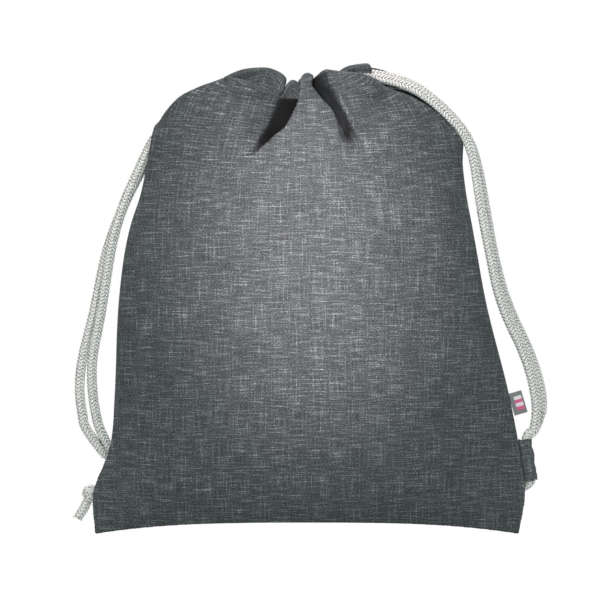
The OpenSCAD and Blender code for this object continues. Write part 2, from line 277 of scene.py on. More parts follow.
def weave_height(nodes, links, place):
    """Height of a plain weave: threads across and up, over and under in turn."""
    split = nodes.new("ShaderNodeSeparateXYZ")
    links.new(place, split.inputs["Vector"])
    sines = []
    for axis in "XY":
        turn = maths(nodes, links, "MULTIPLY", split.outputs[axis], math.pi * THREADS)
        sines.append(maths(nodes, links, "SINE", turn))
    return maths(nodes, links, "MULTIPLY", sines[0], sines[1])


def cotton(name, colour, yarn=1500.0, shade=0.55, painted_gap_shade=0.0):
    """Soft twisted yarn. The UV runs along the yarn and across it. Where asked, painted shade from ambient
    occlusion darkens the gaps between yarns.
    """
    material, nodes, links = new_material(name)
    shader = nodes["Principled BSDF"]
    uv = nodes.new("ShaderNodeUVMap")
    uv.uv_map = "cloth"
    split = nodes.new("ShaderNodeSeparateXYZ")
    links.new(uv.outputs["UV"], split.inputs["Vector"])
    slant = maths(
        nodes, links, "ADD",
        maths(nodes, links, "MULTIPLY", split.outputs["X"], yarn * 2.2),
        maths(nodes, links, "MULTIPLY", split.outputs["Y"], yarn * 5.0),
    )
    twist = maths(nodes, links, "SINE", slant)
    soft = streaks(nodes, links, uv.outputs["UV"], (300, 2600), 0.25, 0.75)
    tone = maths(nodes, links, "ADD", maths(nodes, links, "MULTIPLY", twist, 0.14), soft, clamp=True)
    low = tuple(c * shade for c in colour)
    between = tuple(mix(a, b, 0.75) for a, b in zip(low, colour))
    tinted = ramp(nodes, links, tone, [(0.0, low), (0.4, between), (1.0, colour)])
    if painted_gap_shade:
        # Painted shade: ambient occlusion darkens the colour in the gaps between the braid's yarns.
        painted_shade_ao = node(nodes, "ShaderNodeAmbientOcclusion", Distance=0.0022)
        painted_shade_ao.samples = 6
        shaded = maths(nodes, links, "POWER", painted_shade_ao.outputs["AO"], painted_gap_shade)
        tinted = mixed(nodes, links, 1.0, tinted, shaded, "MULTIPLY")
    links.new(tinted, shader.inputs["Base Color"])
    bump = node(nodes, "ShaderNodeBump", Strength=0.5, Distance=0.0002)
    links.new(tone, bump.inputs["Height"])
    links.new(bump.outputs["Normal"], shader.inputs["Normal"])
    shader.inputs["Roughness"].default_value = 0.9
    shader.inputs["Specular IOR Level"].default_value = 0.15
    shader.inputs["Sheen Weight"].default_value = 0.25
    shader.inputs["Sheen Roughness"].default_value = 0.5
    return material


MELANGE = melange("melange_cloth")
# The front cloth's copy carries much stronger painted shade in its folds.
MELANGE_FRONT = melange("melange_front", deep=3.2)
MELANGE_TAB = melange("melange_tab", 1.2)
# The cord's colour carries painted shade in the gaps between its yarns.
CORD = cotton("cotton_cord", (0.99, 0.955, 0.925), shade=0.68, painted_gap_shade=1.2)
THREAD = cotton("sewing_thread", (0.055, 0.062, 0.07), yarn=4000.0)
THREAD_PALE = cotton("pale_thread", (0.30, 0.31, 0.32), yarn=4000.0)
LABEL = cotton("label_ribbon", (0.24, 0.245, 0.25), yarn=3000.0, shade=0.75)
MOTIF = cotton("motif_pink", (0.80, 0.16, 0.34), yarn=3000.0, shade=0.8)
MOTIF_PALE = cotton("motif_pale", (0.92, 0.84, 0.86), yarn=3000.0, shade=0.8)

# ---------------------------------------------------------------- the pouch's shape

HEM_RISE = 3.0  # rise of the folded hem above its last row
HEM_DOWN = 22.0  # how far the hem is turned in
ROWS, COLUMNS = 270, 270
FLAP_SEAM_X = -36.0  # where a row of pale stitches runs down the back's hem
FRINGE = 1.2  # how far the visible cloth stands off its own mid-surface at the seams


def cad_points(name):
    """Vertices of a CAD node, in mm."""
    return np.array([v.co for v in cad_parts[name].data.vertices], float) / MM


def side_edge(hand):
    """Height and x of the front panel's rim on one side, from the bottom corner up."""
    points = cad_points("front_panel")
    rim = points[(np.abs(points[:, 1]) < 0.7) & (points[:, 0] * hand > 100)]
    rows = [p for p in rim if not any(abs(q[2] - p[2]) < 2.5 and q[0] * hand > p[0] * hand for q in rim)]
    rows = np.array(sorted({(round(p[2], 2), round(p[0], 2)) for p in rows}))
    return rows[:, 0], rows[:, 1]


EDGE = {hand: side_edge(hand) for hand in (LEFT, RIGHT)}
PANEL_LOW, PANEL_HIGH = (np.array(c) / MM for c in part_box("front_panel"))
TUNNEL_HIGH = np.array(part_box("front_tunnel")[1]) / MM
TOP = PANEL_HIGH[2]  # where the gathers begin
MOUTH_R = TUNNEL_HIGH[0]
MOUTH_TOP = TUNNEL_HIGH[2]
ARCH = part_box("bottom_seam")[1].z / MM - 7  # rise of the bottom edge at its middle

# The cloth above the panels, as steps in from the panel's top corner and up from it.
SHOULDER = {
    (FRONT, LEFT): [(3.4, 4), (8.7, 12), (15.8, 22.5), (26, 33), (38, 39.5), (52, 45), (65.6, 48)],
    (BACK, LEFT): [(3.4, 4), (8.7, 12), (15.8, 22.5), (26, 33), (38, 39.5), (52, 45), (65, 48)],
    (FRONT, RIGHT): [(0.2, 2), (9, 9.5), (17.5, 17.8), (26.3, 24), (44, 33.7), (61.4, 39.8), (71, 44.5)],
    (BACK, RIGHT): [(-2, 4), (4.5, 13.5), (12, 22.5), (21, 29.5), (39, 37.5), (56, 40.5), (73, 41)],
}
# The hem between the two shoulders, as x and the height above the panels.
HEM = {
    FRONT: [
        (-56, 43.5), (-38.3, 35.5), (-25, 29.5), (-17.5, 29), (-12.5, 31.8), (-8.4, 37),
        (-7, 44), (-4, 49), (0.5, 50),
        (3.8, 46.5), (5, 42), (7.5, 46), (11.5, 51), (16.3, 53.2), (22, 52.6), (35, 51.2), (48, 49.6),
    ],
    BACK: [
        (-66, 52.5), (-56, 55.8), (-41, 56.8), (-32, 55), (-25, 51.5), (-21.5, 47), (-23.5, 39), (-27, 31),
        (-23, 34), (-19, 42), (-14, 45.5), (-8, 42), (0, 30), (14, 40), (23, 46), (28, 53), (36, 58),
        (47, 60.0), (53.5, 60.2), (55, 57), (54.6, 49), (55.5, 43),
    ],
}
# Share of the pouch's full depth that is reached at a height above the bottom seam.
BULGE = [
    (0, 0.0), (5, 0.12), (14, 0.29), (32, 0.52), (62, 0.76), (110, 0.95), (180, 1.0),
    (250, 0.95), (310, 0.80), (350, 0.64), (375, 0.54), (410, 0.46),
]


def side_line(side, hand):
    """One side of a cloth, from its bottom corner over its shoulder to the hem."""
    z, x = EDGE[hand]
    start = (x[0], z[0] + 0.3)
    upright = [(x[i], z[i]) for i in range(1, len(z)) if z[i] < TOP - 6]
    corner = np.interp(TOP, z, x)
    over = [(corner - hand * dx, TOP + dz) for dx, dz in SHOULDER[side, hand]]
    return [start, *upright, *over]


def coons(side, s):
    """The flat outline of a cloth filled with rows and columns of points, without depth."""
    left = spline(side_line(side, LEFT), ROWS)
    right = spline(side_line(side, RIGHT), ROWS)
    hem = spline([left[-1], *[(x, TOP + z) for x, z in HEM[side]], right[-1]], 900)
    along = np.linspace(0, 1, len(hem))
    place = np.interp((s + 1) / 2, along, np.arange(len(hem)))
    top = np.stack([np.interp(place, np.arange(len(hem)), hem[:, k]) for k in (0, 1)], axis=1)
    bottom_x = mix(left[0, 0], right[0, 0], (s + 1) / 2)
    bottom_z = ARCH * (1 - np.abs(s) ** 3)
    bottom = np.stack([bottom_x, bottom_z], axis=1)
    t = np.linspace(0, 1, ROWS)[:, None, None]
    u = ((s + 1) / 2)[None, :, None]
    left, right = left[:, None, :], right[:, None, :]
    top, bottom = top[None, :, :], bottom[None, :, :]
    lower = (1 - u) * left[0] + u * right[0]
    upper = (1 - u) * left[-1] + u * right[-1]
    return (1 - t) * bottom + t * top + (1 - u) * left + u * right - (1 - t) * lower - t * upper


def fold_left(x, z):
    """Depth of the deep fold left of the middle: a slow fall, a steep drop, a crisp far edge."""
    heights = TOP + np.array([-21, -17.4, -1, 4.6, 12.5, 27, 35, 50])
    crisp = np.interp(z, heights, [-57, -46, -28, -21, -16, -9, -7.5, -7])
    ridge = np.interp(z, TOP + np.array([-21, -10, 4, 20, 48]), [-61, -66, -65.5, -61, -56])
    deep = 44 * smooth(z, TOP - 23, TOP + 14) * mix(1, 0.7, smooth(z, TOP + 24, TOP + 45))
    q = (x - ridge) / (crisp - ridge)
    fall = 0.28 * smooth(q, 0, 0.8) + 0.72 * smooth(q, 0.6, 1.0)
    into = deep * fall * (x < crisp) - 2.5 * bump(q, 0.0, 0.35) * smooth(z, TOP - 25, TOP)
    return into, 0.2 * deep * smooth(q, 0.6, 1) * (x < crisp)


def fold_right(x, z):
    """Depth of the fold right of the middle: a crisp near edge, and a soft rise to its ridge."""
    crisp = np.interp(z, TOP + np.array([-18, -4, 12.6, 21, 30, 41.6, 52]), [36, 30, 25, 20.7, 11.9, 3, 3.5])
    ridge = np.interp(z, TOP + np.array([-18, -10, 9, 30, 55]), [52, 49, 37.5, 27, 16.5])
    deep = 36 * smooth(z, TOP - 18, TOP + 26) * mix(1, 0.6, smooth(z, TOP + 32, TOP + 46))
    q = (x - crisp) / (ridge - crisp)
    soft = mix(6.5, 0.4, smooth(z, TOP - 12, TOP + 14))
    edge = smooth(x - crisp, -soft, soft)
    into = deep * edge * (1 - 0.7 * smooth(q, 0.05, 0.6) - 0.3 * smooth(q, 0.4, 1.05))
    into = into - 2.5 * bump(q, 1.05, 0.35) * smooth(z, TOP - 25, TOP)
    return into, -0.18 * deep * (1 - smooth(q, 0, 0.5)) * edge * smooth(z, TOP + 4, TOP + 14)


def pleats(side, x, z, s):
    """Small gathers that fan out from the mouth over the shoulders."""
    fan = np.degrees(np.arctan2(x, np.maximum(z - (TOP - 75), 5)))
    rise = smooth(z, TOP - 45, TOP + 40)
    lanes = 1.1 * np.sin(np.radians(fan * 9.5 + 40 * side)) + 0.8 * np.sin(np.radians(fan * 17 + 70))
    middle = 1 - 0.85 * bump(x, -8, 45) if side == FRONT else 1
    return 1.5 * rise * lanes * middle * (1 - smooth(np.abs(s), 0.9, 1))


def back_folds(x, z):
    """The back's own deep gathers."""
    depth = np.zeros_like(x)
    for middle, lean, deep in ((-34, 0.3, 6), (-10, 0.05, 5), (18, -0.2, 6)):
        centre = middle - lean * (MOUTH_TOP - z)
        width = 7 + 0.10 * (MOUTH_TOP - z)
        depth += deep * smooth(z, TOP - 45, TOP + 25) * bump(x, centre, width)
    return depth


def depth_of(side, xz, s):
    """How far in front of the seam plane a cloth lies."""
    x, z = xz[..., 0], xz[..., 1]
    half = (PANEL_HIGH[1] - PANEL_LOW[1]) - 0.6
    up, share = zip(*BULGE)
    base = z - ARCH * (1 - np.abs(s) ** 3)
    share = np.interp(base.ravel(), up, share).reshape(base.shape)
    wider = np.pad(share, ((1, 1), (0, 0)), mode="edge")
    share = (wider[:-2] + wider[1:-1] + wider[2:]) / 3
    round_low = 0.95 - 0.33 * smooth(z, 80, 175)
    round_top = mix(round_low, 0.75, smooth(z, TOP - 40, TOP + 20))
    across = np.maximum(1 - np.abs(s) ** 2.4, 0) ** round_top
    hem_end = smooth(z, TOP + 26, TOP + 38) * (1 - smooth(np.abs(x), MOUTH_R - 4, MOUTH_R + 16))
    across = mix(across, np.maximum(1 - np.abs(s) ** 24, 0) ** 0.5 * 0.85, hem_end)
    depth = FRINGE + half * share * across
    under = np.zeros_like(x)
    if side == FRONT:
        (into_left, under_left), (into_right, under_right) = fold_left(x, z), fold_right(x, z)
        depth = depth - (into_left + into_right) * smooth(1 - np.abs(s), 0, 0.1)
        under = under_left + under_right
    else:
        depth = depth - back_folds(x, z) * smooth(1 - np.abs(s), 0, 0.1)
    depth = depth + pleats(side, x, z, s)
    body = smooth(1 - np.abs(s), 0, 0.25) * smooth(base, 5, 60)
    depth = depth + 1.1 * waves(x, z, 11 + side, 110) * body
    depth = depth + 0.45 * waves(x * 1.6, z, 17 + side, 48) * body
    low = smooth(1 - np.abs(s), 0.0, 0.06) * (1 - smooth(base, 12, 70)) * smooth(base, 0, 6)
    depth = depth + 1.0 * waves(x, z * 0.4, 23 + side, 34) * low
    rim = (1 - smooth(1 - np.abs(s), 0.02, 0.09)) * smooth(1 - np.abs(s), 0, 0.01)
    depth = depth + 0.5 * waves(x * 0.3, z, 29 + side, 22) * rim
    floor = FRINGE - 6.5 * smooth(z, TOP - 10, TOP + 5) * smooth(1 - np.abs(s), 0.1, 0.4) * (side == FRONT)
    return np.maximum(depth, floor), under


def hem_inside(points, side):
    """The rows that turn the hem over the cords and down inside the mouth."""
    top, below = points[-1], points[-8]
    rise = np.maximum(top[:, 2] - below[:, 2], 1.0)
    lean = np.clip(0.4 * (top[:, 0] - below[:, 0]), -0.4 * rise, 0.4 * rise)
    up = np.stack([lean, 0 * rise, rise], axis=1)
    up /= np.linalg.norm(up, axis=1)[:, None]
    across = np.clip((np.abs(top[:, 1]) - 3.5) / 2, 1.3, 11)[:, None] * np.array([0, -side, 0])
    rows = []
    for angle in np.linspace(14, 180, 12):
        a = math.radians(angle)
        rows.append(top + HEM_RISE * math.sin(a) * up + (1 - math.cos(a)) * across)
    last = rows[-1]
    for step in np.linspace(0.06, 1, 14):
        rows.append(last - step * HEM_DOWN * up - 2.2 * math.sin(math.pi * step) * across / 8)
    return np.array(rows)


def build_cloth(side):
    """One cloth with its turned hem. Returns it and its grid of points."""
    fine = np.linspace(-1, 1, COLUMNS)
    s = np.sign(fine) * (1 - (1 - np.abs(fine)) ** 1.18)
    xz = coons(side, s)
    up = np.linspace(0, 1, ROWS)
    sag = smooth(up, 0.66, 0.88) * (1 - smooth(up, 0.88, 1))
    xz[..., 1] -= 16 * sag[:, None] * (1 - s[None, :] ** 2)
    y, under = depth_of(side, xz, s[None, :] * np.ones((ROWS, 1)))
    points = np.stack([xz[..., 0] + under, side * y, xz[..., 1]], axis=-1)
    inside = hem_inside(points, side)
    everything = np.concatenate([points, inside])
    uv = cloth_uv(xz, s, len(inside))
    faces = grid_faces(len(everything), COLUMNS, side == FRONT)
    obj = mesh_object(f"{FACE[side]}_cloth", everything.reshape(-1, 3), faces, uv)
    apply_modifier(obj, "SOLIDIFY", thickness=1.0 * MM, offset=-1)
    obj.data.materials.append(MELANGE_FRONT if side == FRONT else MELANGE)
    return obj, everything


def cloth_uv(xz, s, extra):
    """Cloth coordinates in mm: the threads run level, and sag where the cloth is drawn in."""
    rows = len(xz)
    width = np.linalg.norm(np.diff(xz, axis=1), axis=2).sum(axis=1)
    full = width[: rows // 2].mean()
    u = mix(xz[..., 0], s[None, :] * full / 2, 0.35 * smooth(xz[..., 1], TOP - 90, TOP + 30))
    drawn = np.maximum(xz[..., 1] - (TOP - 45), 0)
    v = xz[..., 1] - 0.2 * drawn * np.abs(s[None, :]) ** 1.5
    more_u = np.repeat(u[-1:], extra, axis=0)
    more_v = v[-1:] + np.linspace(1, HEM_DOWN + 12, extra)[:, None]
    return np.stack([np.concatenate([u, more_u]), np.concatenate([v, more_v])], axis=-1).reshape(-1, 2)


# ---------------------------------------------------------------- cords

CORD_R = (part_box("left_cord_front_run")[1].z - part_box("left_cord_front_run")[0].z) / MM / 2
CARRIERS = 8  # yarns each way round
PITCH = 25.0  # length of one turn of a yarn, in mm
YARN = (1.16, 0.80)  # half width and half thickness of a yarn
RELIEF = 0.66  # how far a yarn rises and dips as it passes over and under


def middle_of(name):
    low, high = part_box(name)
    return np.array((low + high) / 2) / MM


def slices(name, top, bottom, step=11):
    """Middles of a bent CAD cord at even heights, from the top down."""
    points = cad_points(name)
    ends = np.array([e.vertices[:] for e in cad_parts[name].data.edges])
    a, b = points[ends[:, 0]], points[ends[:, 1]]
    found = []
    for z in np.linspace(top, bottom, max(int((top - bottom) / step), 2)):
        hit = (a[:, 2] - z) * (b[:, 2] - z) < 0
        share = (z - a[hit, 2]) / (b[hit, 2] - a[hit, 2])
        cut = a[hit] + share[:, None] * (b[hit] - a[hit])
        found.append((cut.min(axis=0) + cut.max(axis=0)) / 2)
    return found


def moving_frame(path):
    """Tangent and two normals along a path, without twist."""
    tangent = np.gradient(path, axis=0)
    tangent /= np.linalg.norm(tangent, axis=1)[:, None]
    normal = np.zeros_like(path)
    first = np.cross(tangent[0], [0.0, 1.0, 0.2])
    normal[0] = first / np.linalg.norm(first)
    for i in range(1, len(path)):
        n = normal[i - 1] - tangent[i] * (normal[i - 1] @ tangent[i])
        normal[i] = n / np.linalg.norm(n)
    return tangent, normal, np.cross(tangent, normal)


def ribbon(points, out, half, sides=6):
    """Surface points of a flat yarn along points, whose flat side faces out."""
    tangent = np.gradient(points, axis=0)
    tangent /= np.linalg.norm(tangent, axis=1)[:, None]
    across = np.cross(tangent, out)
    across /= np.linalg.norm(across, axis=1)[:, None]
    turn = np.linspace(0, 2 * math.pi, sides, endpoint=False) + math.pi / 6
    return (
        points[:, None]
        + half[0] * np.cos(turn)[None, :, None] * across[:, None]
        + half[1] * np.sin(turn)[None, :, None] * out[:, None]
    )


def braid(path, start=0.0, radius=None):
    """Points, faces and UV of a hollow braid along a path, with a plain core inside."""
    radius = CORD_R - 0.8 if radius is None else radius
    _, normal, side = moving_frame(path)
    s = np.concatenate([[0], np.cumsum(np.linalg.norm(np.diff(path, axis=0), axis=1))]) + start
    points, faces, uvs, count = [], [], [], 0
    for way in (1, -1):
        for i in range(CARRIERS):
            angle = 2 * math.pi * (way * s / PITCH + i / CARRIERS)
            weave = np.cos(math.pi / 2 * (2 * CARRIERS * s / PITCH + way * 2 * i - 0.5))
            out = np.cos(angle)[:, None] * normal + np.sin(angle)[:, None] * side
            line = path + (radius + way * RELIEF * weave)[:, None] * out
            rings = ribbon(line, out, YARN)
            points.append(rings.reshape(-1, 3))
            faces.append(grid_faces(len(path), 6, closed=True) + count)
            along = np.repeat(s[:, None], 6, axis=1)
            round_it = np.repeat(np.linspace(0, 5, 6)[None] * 0.8, len(path), axis=0)
            uvs.append(np.stack([along + 40 * i, round_it + 9 * i], axis=-1).reshape(-1, 2))
            count += len(points[-1])
    turn = np.linspace(0, 2 * math.pi, 10, endpoint=False)
    core = path[:, None] + (radius - 0.7) * (
        np.cos(turn)[None, :, None] * normal[:, None] + np.sin(turn)[None, :, None] * side[:, None]
    )
    points.append(core[::2].reshape(-1, 3))
    faces.append(grid_faces(len(core[::2]), 10, closed=True) + count)
    uvs.append(np.zeros((len(points[-1]), 2)))
    return np.concatenate(points), np.concatenate(faces), np.concatenate(uvs)


def fuzz(path, count, seed, reach=2.2):
    """Fine loose fibres that stand off a cord."""
    rng = np.random.default_rng(seed)
    tangent, normal, side = moving_frame(path)
    at = rng.integers(2, len(path) - 2, count)
    angle = rng.uniform(0, 2 * math.pi, count)
    out = np.cos(angle)[:, None] * normal[at] + np.sin(angle)[:, None] * side[at]
    round_it = -np.sin(angle)[:, None] * normal[at] + np.cos(angle)[:, None] * side[at]
    lean = rng.normal(0, 0.8, (count, 1)) * tangent[at] + rng.normal(0, 0.8, (count, 1)) * round_it
    long = rng.uniform(0.5, 1, (count, 1)) ** 2 * reach
    base = path[at] + out * (CORD_R - 0.5)
    wide = np.cross(out, lean + 0.01)
    wide *= 0.05 / np.maximum(np.linalg.norm(wide, axis=1)[:, None], 1e-6)
    deep = np.cross(wide, out)
    corners = (wide, -0.5 * wide + 0.87 * deep, -0.5 * wide - 0.87 * deep)
    middle = base + (out * 0.75 + lean * 0.4) * long
    tip = base + (out * 0.9 + lean * 1.2) * long
    rings = [base + c for c in corners] + [middle + c for c in corners] + [tip]
    points = np.stack(rings, axis=1).reshape(-1, 3)
    first = np.arange(count)[:, None] * 7
    quads = [[0, 1, 4, 3], [1, 2, 5, 4], [2, 0, 3, 5]]
    ends = [[3, 4, 6], [4, 5, 6], [5, 3, 6], [2, 1, 0]]
    faces = [row for face in quads + ends for row in (first + np.array(face)).tolist()]
    return points, faces, np.zeros((len(points), 2))


def joined(name, parts, material):
    """One mesh object from several sets of points, faces and UV."""
    points, faces, uvs, count = [], [], [], 0
    for p, f, uv in parts:
        points.append(p)
        uvs.append(uv)
        faces.extend([[int(k) + count for k in face] for face in f])
        count += len(p)
    obj = mesh_object(name, np.concatenate(points), faces, np.concatenate(uvs))
    obj.data.materials.append(material)
    return obj if material is CORD else obj


def cord_piece(name, lines, starts, seed):
    """Braided cords along several lines, with their fuzz, as one piece."""
    parts = []
    for k, (line, start) in enumerate(zip(lines, starts)):
        parts.append(braid(line, start))
        parts.append(fuzz(line, int(length(line) * 8), seed + k))
    return joined(name, parts, CORD)


# The middle of each pair of strands, from the mouth over the shoulder to the side, in mm.
RIGHT_RISE = [
    (57.5, 11, 403), (73, 7, 399.8), (87, 3, 394.8), (97, 1.5, 389.8), (109, 1, 381),
    (121, 1, 370.3), (131.8, 1, 358.4),
]
LEFT_RISE = [
    (-74, 13, 393), (-85, 16.5, 388), (-97, 20, 379.5), (-109, 22, 370), (-121, 23.5, 361.5),
    (-130.5, 24, 353),
]


def strap_line(hand, side):
    """Middle of one strand of a strap, from inside the tunnel down to the tab."""
    node_name = f"{HAND[hand]}_strap_{FACE[side]}_strand"
    low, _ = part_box(node_name)
    body = slices(node_name, TOP - 4, low.z / MM + 9)
    body = [p + np.array([side * spread_of(p[2]), 0, 0]) for p in body]
    if hand > 0:
        over = [np.array([x, y + side * 4.3, z + side * 1.6]) for x, y, z in RIGHT_RISE]
        inside = [np.array([40, 11 + 3.4 * side, 401 + side]), np.array([49, 11 + 3.7 * side, 402.5 + side])]
    else:
        over = [np.array([x, y + side * 4.3, z]) for x, y, z in LEFT_RISE]
        start = ((-51, 391.5), (-57, 393.5), (-64, 394.5))
        inside = [np.array([x, 14 + 2.4 * side, z + 2 * side]) for x, z in start]
    return inside + over + body


def spread_of(z):
    """How much farther apart the strands lie than in the CAD, where they hang side by side."""
    return 1.2 * float(smooth(z, 230, 300))


def cord_end_line(hand, side):
    """Middle of one strand from the bottom of a strap through its tab to the knot."""
    name = HAND[hand]
    tab = middle_of(f"{name}_tab")
    knot = knot_centre(hand)
    if hand > 0:
        steps = [(6, 0, 27), (0.8, 0, 22), (-1, 0, 14), (0.8, 0, 0), (2.6, 0, -15), (0.5, 3.5, -21)]
        offset = np.array([0.4, 4.2, 0])
    else:
        steps = [(-8, -1, 22), (0.5, 0, 16), (1.5, 0, 9), (0, 0, 0), (-2.4, 0, -11), (-8, -1, -17)]
        offset = np.array([-4.2, 0, 0.7])
    way = [tab + np.array(step) + side * offset for step in steps]
    return [*way, knot + side * np.array([1.5, 0, 1.5])]


def knot_centre(hand):
    name = f"{HAND[hand]}_knot"
    points = cad_points(name)
    _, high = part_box(name)
    ball = points[:, 2] > high.z / MM - 2 * CORD_R - 6
    return np.array([points[ball][:, k].mean() for k in range(3)])


STEP = 0.8  # distance between two rings of a braid, in mm


def dense(points):
    line = spline(points, 60)
    return spline(points, max(int(length(line) / STEP), 8))


def build_strap(hand):
    """A strap in three pieces: its upper and lower halves, and its ends through the tab to the knot."""
    name = HAND[hand]
    tops, lows, ends, starts = [], [], [], []
    for side in (FRONT, BACK):
        whole = strap_line(hand, side)
        tail = cord_end_line(hand, side)
        line = dense(whole + tail)
        reach = length(dense(whole)) / length(line)
        cut = int(len(line) * reach)
        half = cut // 2
        tops.append(line[: half + 1])
        lows.append(line[half : cut + 1])
        ends.append(line[cut:])
        starts.append((0.0, half * STEP, cut * STEP))
    pieces = []
    for label, lines, k in (("upper", tops, 0), ("lower", lows, 1), ("ends", ends, 2)):
        phases = [s[k] + 5 * j for j, s in enumerate(starts)]
        pieces.append(cord_piece(f"{name}_cord_{label}", lines, phases, 7 * k + 100 + hand))
    upper, lower, end = pieces
    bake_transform(upper)
    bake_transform(lower)
    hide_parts(f"{name}_cord_elbow", f"{name}_strap_front_strand")
    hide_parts(f"{name}_strap_back_strand")
    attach(end, "bag")
    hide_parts(f"{name}_cord_ends")
    return pieces


def build_tunnel_cord(hand, hem):
    """The lengths of one cord inside the tunnels, and the turn between them. hem is the back's edge."""
    name = HAND[hand]
    down = 11 if middle_of(f"{name}_cord_front_run")[2] > middle_of("front_tunnel")[2] else 19
    xs = np.linspace(hand * 28, -hand * (MOUTH_R - 14), 10)
    way = []
    for x in xs:
        near = hem[np.abs(hem[:, 0] - x) < 10]
        way.append((x, np.clip(near[:, 1].min() - 5.5, 11, 19), near[:, 2].min() - down))
    start = [(hand * 50, -13, way[0][2]), (hand * 39, -3, way[0][2])]
    turn = [(xs[-1] - hand * 7, way[-1][1] - 8, way[-1][2])]
    back = [(x, y, z - 6.5) for x, y, z in way[::-1]] + [(hand * 46, 13, way[0][2])]
    obj = cord_piece(f"{name}_cord_in_tunnel", [dense(start + way + turn + back)], [0.0], 300 + hand)
    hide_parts(f"{name}_cord_front_run", f"{name}_cord_back_run", f"{name}_cord_bight")
    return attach(obj, f"{name}_cord")


def build_knot(hand):
    """An overhand knot with a short tail whose end frays."""
    name = HAND[hand]
    centre = knot_centre(hand)
    t = np.linspace(0, 2 * math.pi, 90)
    parts = []
    for k, (lean, wide) in enumerate(((0.7, 4.3), (-0.75, 4.1), (1.6, 3.4))):
        flat = np.stack([np.cos(t), np.sin(t) * math.sin(lean), np.sin(t) * math.cos(lean)], axis=1)
        place = centre + np.array([0, 0, 0.6 * k - 0.6])
        loop = resample(place + wide * flat, int(2 * math.pi * wide / STEP))
        parts += [braid(loop, 3.0 * k, CORD_R - 1.0), fuzz(loop, 140, 41 + k)]
    points = cad_points(f"{name}_knot")
    tip = points[np.argmin(points[:, 2])]
    low = points[points[:, 2] < tip[2] + 3].mean(axis=0)
    way = low - centre
    way /= np.linalg.norm(way)
    tail = dense([centre, centre + way * 8, centre + way * 14 + np.array([0.6, 0, 0]), low])
    parts += [braid(tail, 3.0, CORD_R - 1.1), fuzz(tail, 90, 47)]
    parts.append(frayed(low, way, 36, 47))
    obj = joined(f"{name}_knot_tied", parts, CORD)
    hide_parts(f"{name}_knot")
    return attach(obj, "bag")


def frayed(end, way, count, seed):
    """Loose yarn ends that spread from a cut end."""
    rng = np.random.default_rng(seed)
    points, faces, total = [], [], 0
    side = np.cross(way, [0, 1, 0])
    for _ in range(count):
        angle, r = rng.uniform(0, 2 * math.pi), (CORD_R - 0.8) * math.sqrt(rng.uniform(0, 1))
        out = math.cos(angle) * side + math.sin(angle) * np.array([0, 1, 0])
        a = end + out * r - way * 2
        b = a + way * (2.6 + rng.uniform(0, 1)) + out * 0.25 * r
        c = b + way * rng.uniform(0.3, 1.6) + out * 0.35 * r + rng.normal(0, 0.25, 3)
        line = spline([a, b, c], 7)
        rings = ribbon(line, np.repeat(np.array([[0.0, 1.0, 0.0]]), 7, axis=0), (0.42, 0.42), 5)
        rings[-1] = rings[-1].mean(axis=0)
        points.append(rings.reshape(-1, 3))
        faces.extend((grid_faces(7, 5, closed=True) + total).tolist())
        total += len(points[-1])
    points = np.concatenate(points)
    return points, faces, np.zeros((len(points), 2))


# ---------------------------------------------------------------- tabs, seams, threads, label


def loop_of(name):
    """A cloth loop in the place of a CAD tab, as a tube along the tab's own lean."""
    points = cad_points(name)
    middle = points.mean(axis=0)
    above = points[:, 2] > middle[2]
    axis = points[above].mean(axis=0) - points[~above].mean(axis=0)
    axis /= np.linalg.norm(axis)
    out = np.cross([0, 1, 0], axis)
    along = (points - middle) @ axis
    wide = ((points - middle) @ out).max() - 0.2
    deep = (points[:, 1] - middle[1]).max() - 0.2
    return middle, axis, out, along.max(), wide, deep


def build_tab(hand):
    name = f"{HAND[hand]}_tab"
    middle, axis, out, half, wide, deep = loop_of(name)
    rows, columns = 56, 96
    turn = np.linspace(0, 2 * math.pi, columns, endpoint=False)
    h = np.linspace(-half - 1.5, half + 1.5, rows)
    c, s = np.cos(turn), np.sin(turn)
    power = 0.42
    shape_x, shape_y = np.sign(c) * np.abs(c) ** power, np.sign(s) * np.abs(s) ** power
    grid = np.empty((rows, columns, 3))
    crease = 0.5 * waves(h[:, None] * np.ones(columns), turn[None] * 6 * np.ones((rows, 1)), 61 + hand, 16)
    press = 0.55 * (bump(h, half - 5.5, 1.2) + bump(h, -half + 5.5, 1.2))[:, None]
    grow = crease - press
    grid[:] = (
        middle + h[:, None, None] * axis
        + ((wide + grow) * shape_x[None])[..., None] * out
        + ((deep + grow) * shape_y[None])[..., None] * np.array([0, 1, 0])
    )
    edge = 0.5 * np.sin(turn * 3 + 1) + 0.4 * np.sin(turn * 7)
    grid += ((np.abs(h) / half) ** 6 * np.sign(h))[:, None, None] * edge[None, :, None] * axis * 0.5
    arc = np.linspace(0, 60, columns)
    uv = np.stack([np.repeat(arc[None], rows, 0), np.repeat(h[:, None], columns, 1) + 500], axis=-1)
    faces = grid_faces(rows, columns, closed=True)
    obj = mesh_object(f"{name}_loop", grid.reshape(-1, 3), faces, uv.reshape(-1, 2))
    apply_modifier(obj, "SOLIDIFY", thickness=1.1 * MM, offset=0)
    obj.data.materials.append(MELANGE_TAB)
    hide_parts(name)
    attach(obj, "bag")
    stitch_rows = []
    for end in (-1, 1):
        k = int(np.argmin(np.abs(h - end * (half - 5.5))))
        ring = grid[k] + 0.62 * (shape_x[:, None] * out + shape_y[:, None] * np.array([0, 1, 0]))
        stitch_rows.append(np.vstack([ring, ring[:1]]))
    threads = stitches(f"{name}_threads", stitch_rows, 2.4, THREAD)
    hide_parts(f"{name}_stitching")
    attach(threads, "bag")


